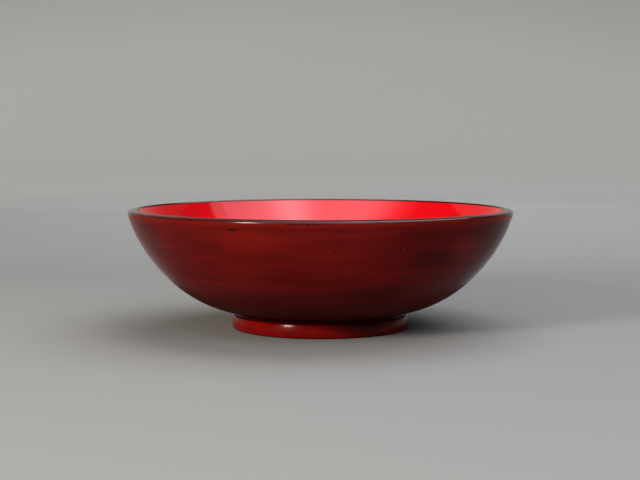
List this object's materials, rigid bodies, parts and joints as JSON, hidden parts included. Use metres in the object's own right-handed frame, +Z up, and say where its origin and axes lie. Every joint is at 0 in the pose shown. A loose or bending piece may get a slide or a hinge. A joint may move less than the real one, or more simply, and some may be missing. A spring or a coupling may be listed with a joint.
{
  "type": "lacquered bowl",
  "caption": "Wide shallow round bowl on a low foot ring, turned wood under cloth, ground and gloss lacquer, for serving food.",
  "frame": {"origin": "centre of the foot ring, on the surface that the bowl stands on", "axes": "+Z up along the turning axis; the bowl is round, so +X and +Y are arbitrary, and the picture looks along +Y"},
  "size_m": [0.24, 0.24, 0.075],
  "materials": {
    "wood": "bare turned wood, hidden under the layers",
    "cloth": "hemp cloth soaked in lacquer paste, hidden",
    "ground": "matt clay and lacquer ground, hidden",
    "vermilion_lacquer": "opaque gloss lacquer",
    "black_lacquer": "black gloss lacquer",
    "red_brown_lacquer": "transparent brown gloss lacquer over red, brushed round the bowl",
    "red_lacquer": "gloss lacquer, thin over red"
  },
  "bodies": {
    "root": {"bowl_core": "wood", "foot_ring": "wood", "well_cloth": "cloth", "rim_cloth": "cloth", "foot_joint_cloth": "cloth", "base_cloth": "cloth", "inner_ground": "ground", "outer_ground": "ground", "foot_ground": "ground", "inner_lacquer": "vermilion_lacquer", "rim_lacquer": "black_lacquer", "outer_lacquer": "red_brown_lacquer", "foot_lacquer": "red_lacquer", "base_lacquer": "black_lacquer"}
  },
  "joints": []
}
